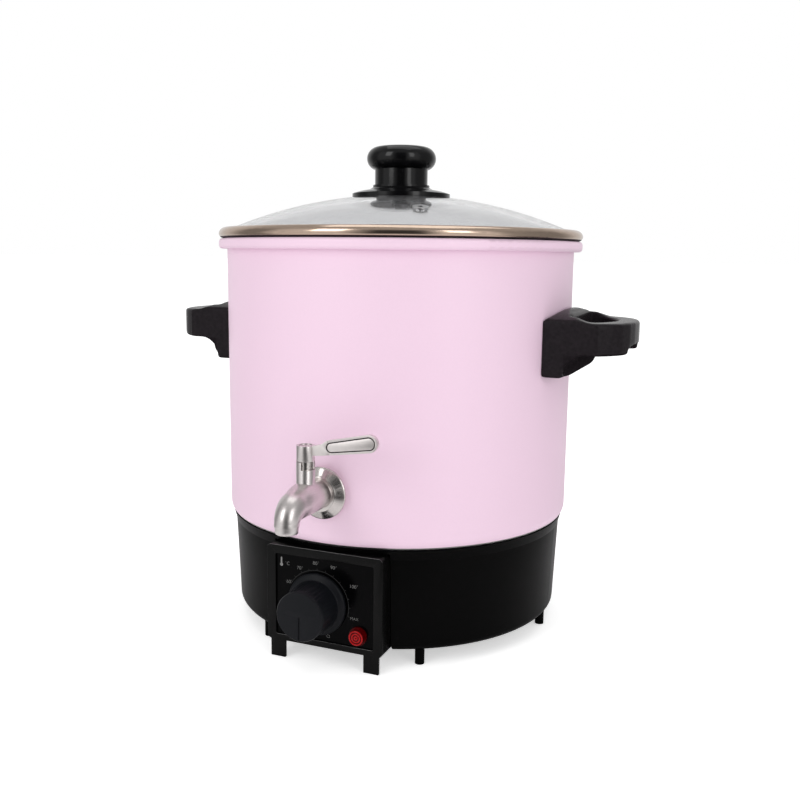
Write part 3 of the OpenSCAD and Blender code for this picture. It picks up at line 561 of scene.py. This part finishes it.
# ---------------------------------------------------------------- lid band
def rim_band():
    """The rolled band, rounded under as well as over, with painted shade on its lower outer faces, so that a
    dark line parts it from the pot's rim.
    """
    top = RIM_Z / MM
    under = arc((132.6, top + 3.7), 3.5, -90, -6, 14)
    over = arc((131.1, top + 3.0), 5.0, 8, 116, 18)
    over_glass = [(127.8, top + 7.4), (127.8, top + 7.12), (129.35, top + 6.48)]
    shelf = [(129.35, top + 1.95), (126.0, top + 3.3)]
    inner_lip = [(126.0, top - 5.8), (126.8, top - 5.8), (126.8, top + 0.2)]
    piece = turned(under + over + over_glass + shelf + inner_lip, "lid_rim_band_rolled")
    # Painted shade: the band's outer faces low down, where the shadow line between lid and pot falls, get the
    # dark finish.
    painted_shade_below, lip_out = (top + 1.5) * MM, 127.5 * MM

    def in_painted_shade(face):
        return face.center.z < painted_shade_below and math.hypot(face.center.x, face.center.y) > lip_out

    paint(piece, "rim_steel")
    paint_part(piece, "painted_shade", in_painted_shade)
    stands_for(piece, "lid_rim_band", "lid")


# ---------------------------------------------------------------- control box
def control_box():
    """The box with eased edges. Where its top edge turns to the front it wears a lighter coated finish: a
    painted highlight in its colour, with real gloss from the coat.
    """
    box = eased("control_box", "body", 1.1, "box_black", 60)
    # Painted highlight: the faces of the top front edge get the lighter finish.
    paint_part(box, "box_edge_painted_highlight", lambda face: face.normal.z > 0.25 and face.normal.y < -0.25)


# ---------------------------------------------------------------- what repeats
def tree_for(name, sizes):
    """An empty geometry tree with a named input for each size, and the outputs that give them."""
    tree = bpy.data.node_groups.new(name, "GeometryNodeTree")
    tree.interface.new_socket("Geometry", in_out="INPUT", socket_type="NodeSocketGeometry")
    for key, value in sizes.items():
        kind = "NodeSocketInt" if isinstance(value, int) else "NodeSocketFloat"
        tree.interface.new_socket(key, in_out="INPUT", socket_type=kind).default_value = value
    tree.interface.new_socket("Geometry", in_out="OUTPUT", socket_type="NodeSocketGeometry")
    return tree, tree.nodes.new("NodeGroupInput").outputs


def finish_tree(tree, geometry, finish):
    """The tree ends with its copies made real and its finish on."""
    real = wired(tree, "GeometryNodeRealizeInstances", {0: geometry}).outputs[0]
    coat = wired(tree, "GeometryNodeSetMaterial", {"Geometry": real, "Material": FINISH[finish]}).outputs[0]
    wired(tree, "NodeGroupOutput", {0: coat})
    return tree


def grown(tree, name, place, finish):
    """The tree's result as a plain mesh piece, moved to its place."""
    piece = new_piece(bpy.data.meshes.new(name), name)
    piece.modifiers.new("grow", "NODES").node_group = tree
    applied(piece, 40)
    piece.data.transform(place)
    outwards(piece.data)
    paint(piece, finish)
    return piece


# ---------------------------------------------------------------- printed dial
PANEL_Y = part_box("control_panel")[0].y / MM
PRINT_T = 0.05
KNOB_AXIS = -5.0, 42.5
MARKS = [("60°", -26.5, 54.6), ("70°", -18.4, 65.5), ("80°", -6.2, 70.5), ("90°", 6.9, 69.2),
         ("100°", 21.8, 58.2), ("MAX", 22.2, 35.8), ("O", 2.9, 20.3), ("°C", -28.1, 67.4)]
SCALE = {"Radius": 23.1 * MM, "Tick length": 1.3 * MM, "Line width": 0.22 * MM, "Thickness": PRINT_T * MM,
         "First angle": math.radians(-14), "Sweep": math.radians(165), "Ticks": 12}


def on_panel(x, z, out):
    """The move from the origin to a place on the panel, so far out from its face."""
    return Matrix.Translation((x * MM, (PANEL_Y - out) * MM, z * MM))


def printed(text, x, z, height, name):
    """A printed word or number, centred on its place."""
    thinner = 0.02
    lettering = bpy.data.curves.new(name, "FONT")
    lettering.body = text
    lettering.size = height * MM
    lettering.align_x = "CENTER"
    lettering.align_y = "CENTER"
    lettering.extrude = PRINT_T / 2 * MM
    lettering.offset = -thinner * height * MM
    flat = bpy.data.objects.new(name + "_curve", lettering)
    bpy.context.scene.collection.objects.link(flat)
    bpy.context.view_layer.update()
    mesh = bpy.data.meshes.new_from_object(flat.evaluated_get(bpy.context.evaluated_depsgraph_get()))
    bpy.data.objects.remove(flat)
    mesh.transform(on_panel(x, z, PRINT_T / 2) @ Matrix.Rotation(math.pi / 2, 4, "X"))
    piece = new_piece(mesh, name)
    paint(piece, "panel_print")
    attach(piece, "body")


def dial_scale_tree():
    """Ticks spread evenly along an arc, and the arc itself, in the XZ plane round the origin."""
    arc_steps = 72
    tree, given = tree_for("dial_scale", SCALE)
    step = maths(tree, "DIVIDE", given["Sweep"], maths(tree, "SUBTRACT", given["Ticks"], 1))
    number = wired(tree, "GeometryNodeInputIndex").outputs[0]
    angle = maths(tree, "ADD", given["First angle"], maths(tree, "MULTIPLY", number, step))
    middle = maths(tree, "ADD", given["Radius"], maths(tree, "MULTIPLY", given["Tick length"], 0.5))
    place = wired(tree, "ShaderNodeCombineXYZ", {
        "X": maths(tree, "MULTIPLY", middle, maths(tree, "COSINE", angle)),
        "Z": maths(tree, "MULTIPLY", middle, maths(tree, "SINE", angle))}).outputs[0]
    turn = wired(tree, "ShaderNodeCombineXYZ", {"Y": maths(tree, "MULTIPLY", angle, -1)}).outputs[0]
    row = wired(tree, "GeometryNodeMeshLine", {"Count": given["Ticks"]}).outputs[0]
    spread = wired(tree, "GeometryNodeSetPosition", {"Geometry": row, "Position": place}).outputs[0]
    tick_size = wired(tree, "ShaderNodeCombineXYZ", {
        "X": given["Tick length"], "Y": given["Thickness"], "Z": given["Line width"]}).outputs[0]
    tick = wired(tree, "GeometryNodeMeshCube", {"Size": tick_size}).outputs[0]
    ticks = wired(tree, "GeometryNodeInstanceOnPoints", {
        "Points": spread, "Instance": tick, "Rotation": turn})

    bow = wired(tree, "GeometryNodeCurveArc", {
        "Resolution": arc_steps, "Radius": given["Radius"], "Start Angle": given["First angle"],
        "Sweep Angle": given["Sweep"]}).outputs["Curve"]
    stroke = wired(tree, "GeometryNodeCurvePrimitiveQuadrilateral", {
        "Width": given["Line width"], "Height": given["Thickness"]}).outputs["Curve"]
    line = wired(tree, "GeometryNodeCurveToMesh", {
        "Curve": bow, "Profile Curve": stroke, "Fill Caps": True}).outputs["Mesh"]
    upright = wired(tree, "GeometryNodeTransform", {"Geometry": line, "Rotation": (math.pi / 2, 0, 0)})
    both = tree.nodes.new("GeometryNodeJoinGeometry")
    for part in (ticks, upright):
        tree.links.new(part.outputs[0], both.inputs[0])
    return finish_tree(tree, both.outputs[0], "scale_print")


def thermometer():
    """The small thermometer sign: a round bowl with a narrow stem."""
    middle, top, low = -32.6, 71.0, 66.2
    stem_r, bowl_r = 0.55, 1.15
    neck = math.degrees(math.acos(stem_r / bowl_r))
    bowl = arc((middle, low), bowl_r, -180 - neck, neck, 20)
    icon = block(bowl + arc((middle, top), stem_r, 0, 180, 8), PANEL_Y - PRINT_T, PANEL_Y, "thermometer_mark")
    paint(icon, "panel_print")
    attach(icon, "body")


def dial():
    """All that is printed on the panel."""
    figure_height, word_height = 3.5, 2.9
    for i, (text, x, z) in enumerate(MARKS):
        printed(text, x, z, word_height if text == "MAX" else figure_height, "dial_mark_%d" % i)
    scale = grown(dial_scale_tree(), "dial_scale", on_panel(*KNOB_AXIS, PRINT_T / 2), "scale_print")
    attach(scale, "body")
    thermometer()


# ---------------------------------------------------------------- pilot lamp
LAMP_X, LAMP_Z, LAMP_FACE = 25.3, 24.6, 4.4
RINGS = {"First radius": 1.0 * MM, "Step": 1.8 * MM, "Ridge radius": 0.5 * MM, "Rings": 3}


def lens_rings_tree():
    """Round ridges one inside the other, lying flat round the origin."""
    ring_steps, ridge_steps = 64, 10
    tree, given = tree_for("lens_rings", RINGS)
    number = wired(tree, "GeometryNodeInputIndex").outputs[0]
    radius = maths(tree, "MULTIPLY_ADD", number, given["Step"], given["First radius"])
    row = wired(tree, "GeometryNodeMeshLine", {"Count": given["Rings"], "Offset": (0, 0, 0)}).outputs[0]
    ring = wired(tree, "GeometryNodeCurvePrimitiveCircle", {
        "Resolution": ring_steps, "Radius": 1}).outputs["Curve"]
    copies = wired(tree, "GeometryNodeInstanceOnPoints", {"Points": row, "Instance": ring, "Scale": radius})
    rings = wired(tree, "GeometryNodeRealizeInstances", {0: copies.outputs[0]}).outputs[0]
    ridge = wired(tree, "GeometryNodeCurvePrimitiveCircle", {
        "Resolution": ridge_steps, "Radius": given["Ridge radius"]}).outputs["Curve"]
    swept = wired(tree, "GeometryNodeCurveToMesh", {"Curve": rings, "Profile Curve": ridge})
    return finish_tree(tree, swept.outputs["Mesh"], "lamp_ring_red")


def pilot_lamp():
    """The ridges on the lamp's lens."""
    place = on_panel(LAMP_X, LAMP_Z, LAMP_FACE) @ Matrix.Rotation(math.pi / 2, 4, "X")
    rings = grown(lens_rings_tree(), "lamp_rings", place, "lamp_ring_red")
    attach(rings, "body")


for side in (1, -1):
    handle(side)
tap()
rim_band()
control_box()
eased("thermostat_knob", "knob", 0.45, "knob_black", 40)
dial()
pilot_lamp()


# ---------------------------------------------------------------- light and ground
# degrees from the camera's side, brightness
ROOM = [(-180, 0.85), (-130, 0.7), (-112, 0.28), (-92, 0.28), (-80, 0.75), (-36, 0.9), (-26, 0.4),
        (-15, 0.05), (12, 0.05), (19, 0.5), (24, 0.9), (56, 0.85), (68, 0.4), (96, 0.3), (115, 0.3),
        (135, 0.7), (180, 0.85)]
WHITE = (1, 1, 1, 1)


def surroundings(tree, direction):
    """The studio's brightness by direction: dark in front, a soft box on each side, pale behind and above."""
    front = (math.sin(CAMERA_TURN), -math.cos(CAMERA_TURN), 0)
    aside = (math.cos(CAMERA_TURN), math.sin(CAMERA_TURN), 0)
    above, above_from, above_to = (0.5, 0.5, 0.5, 1), 0.45, 0.7
    shares = [wired(tree, "ShaderNodeVectorMath", {0: direction, 1: axis}, operation="DOT_PRODUCT")
              for axis in (aside, front)]
    turn = maths(tree, "ARCTAN2", *(share.outputs["Value"] for share in shares))
    steps = [(angle / 360 + 0.5, (level, level, level)) for angle, level in ROOM]
    walls = color_steps(tree, span(tree, turn, -math.pi, math.pi), steps)
    height = wired(tree, "ShaderNodeSeparateXYZ", {"Vector": direction}).outputs["Z"]
    return blended(tree, span(tree, height, above_from, above_to), walls, above)


def seen_directly(tree, rays):
    """1 for the camera's own rays and for those that have gone through the glass."""
    return maths(tree, "MAXIMUM", rays["Is Camera Ray"], rays["Is Transmission Ray"])


def world_light():
    """White where it is seen directly, the studio in reflections, and an even light elsewhere."""
    even = (0.72, 0.72, 0.72, 1)
    world = bpy.data.worlds.new("studio")
    bpy.context.scene.world = world
    world.use_nodes = True
    tree = world.node_tree
    rays = wired(tree, "ShaderNodeLightPath").outputs
    room = surroundings(tree, wired(tree, "ShaderNodeTexCoord").outputs["Generated"])
    light = blended(tree, rays["Is Glossy Ray"], even, room)
    light = blended(tree, seen_directly(tree, rays), light, WHITE)
    tree.links.new(light, tree.nodes["Background"].inputs["Color"])


def ground_finish():
    """White ground that keeps its shadow. Away from the piece, reflections meet the studio round it."""
    glow_level, table_r, table_fade_r = 0.5, 0.24, 0.42
    made = material("ground_white", (0.97, 0.97, 0.97), 0.9, 5, bump=0.0, vary=0.005)
    tree = made.node_tree
    surface = tree.nodes["Principled BSDF"]
    rays = wired(tree, "ShaderNodeLightPath").outputs
    place = wired(tree, "ShaderNodeTexCoord").outputs["Object"]
    surface.inputs["Emission Color"].default_value = WHITE
    glow = maths(tree, "MULTIPLY", seen_directly(tree, rays), glow_level)
    tree.links.new(glow, surface.inputs["Emission Strength"])
    away = wired(tree, "ShaderNodeVectorMath", {0: place}, operation="LENGTH").outputs["Value"]
    share = maths(tree, "MULTIPLY", span(tree, away, table_r, table_fade_r), rays["Is Glossy Ray"])
    room = wired(tree, "ShaderNodeEmission", {"Color": surroundings(tree, place)}).outputs[0]
    mix = wired(tree, "ShaderNodeMixShader", {0: share, 1: surface.outputs[0], 2: room})
    tree.links.new(mix.outputs[0], tree.nodes["Material Output"].inputs["Surface"])
    return made


def soft_box(name, place, target, size, power):
    """A flat lamp at place that shines at target."""
    data = bpy.data.lights.new(name, "AREA")
    data.shape = "RECTANGLE"
    data.size, data.size_y = size
    data.energy = power
    lamp = bpy.data.objects.new(name, data)
    lamp.location = place
    lamp.rotation_euler = (Vector(target) - Vector(place)).to_track_quat("-Z", "Y").to_euler()
    bpy.context.scene.collection.objects.link(lamp)


def studio():
    """The world, three lamps and the ground."""
    pot_middle, lid = (0, 0, 0.18), (0, 0, 0.3)
    world_light()
    soft_box("key", (-0.72, -1.75, 1.1), pot_middle, (0.7, 1.3), 8)
    soft_box("fill", (1.5, -1.0, 0.8), pot_middle, (0.5, 1.2), 4.5)
    soft_box("top", (0, 0.2, 1.7), lid, (1.4, 1.2), 6)
    bpy.context.scene.view_settings.view_transform = "Standard"
    half = 40
    corners = [(-half, -half, 0), (half, -half, 0), (half, half, 0), (-half, half, 0)]
    mesh = bpy.data.meshes.new("ground")
    mesh.from_pydata(corners, [], [(0, 1, 2, 3)])
    ground = new_piece(mesh, "ground")
    mesh.materials.append(ground_finish())


set_camera()
studio()
